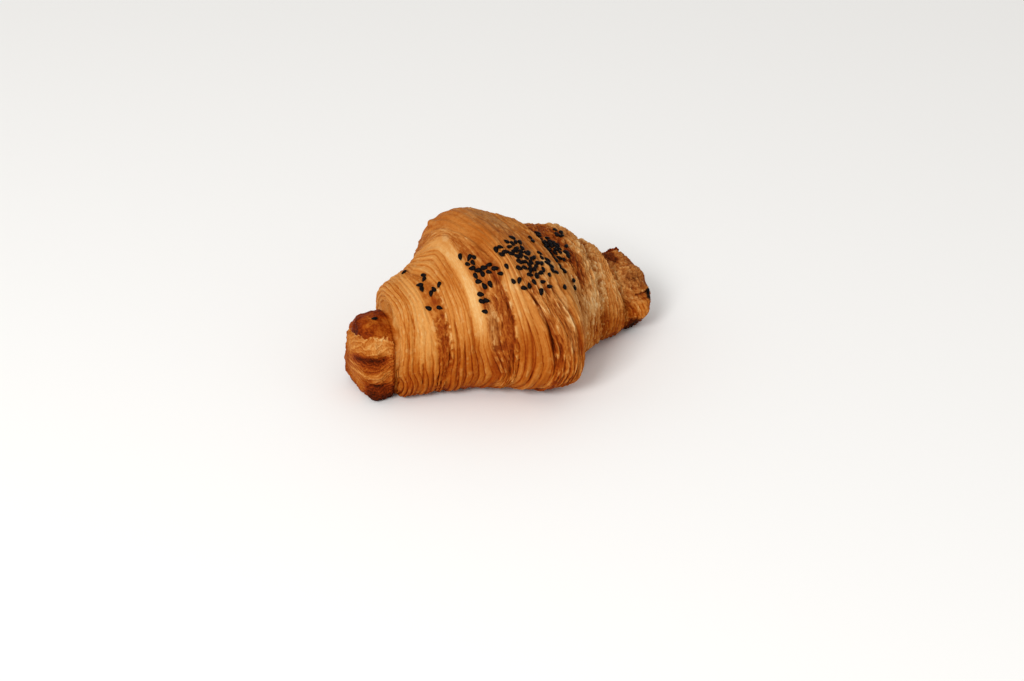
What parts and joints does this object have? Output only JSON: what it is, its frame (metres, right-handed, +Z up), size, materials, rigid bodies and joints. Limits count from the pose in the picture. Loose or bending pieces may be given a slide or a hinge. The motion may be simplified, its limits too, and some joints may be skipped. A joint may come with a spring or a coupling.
{
  "type": "cheese croissant",
  "caption": "Baked croissant rolled from laminated dough, with stepped wraps, ridged cut edges, blunt tips and black sesame seeds over its crown.",
  "frame": {"origin": "middle of the bounding box, on the plane that the croissant rests on", "axes": "+X along the roll from its crumpled near tip to its far tip, -Y to the front where the belly swells, +Z up"},
  "size_m": [0.15, 0.0956, 0.0732],
  "materials": {
    "crust": "egg-washed baked dough, orange-brown with paler layered edges",
    "sesame": "black sesame seed, slightly waxy"
  },
  "bodies": {
    "root": {"croissant": "crust"}
  },
  "joints": []
}
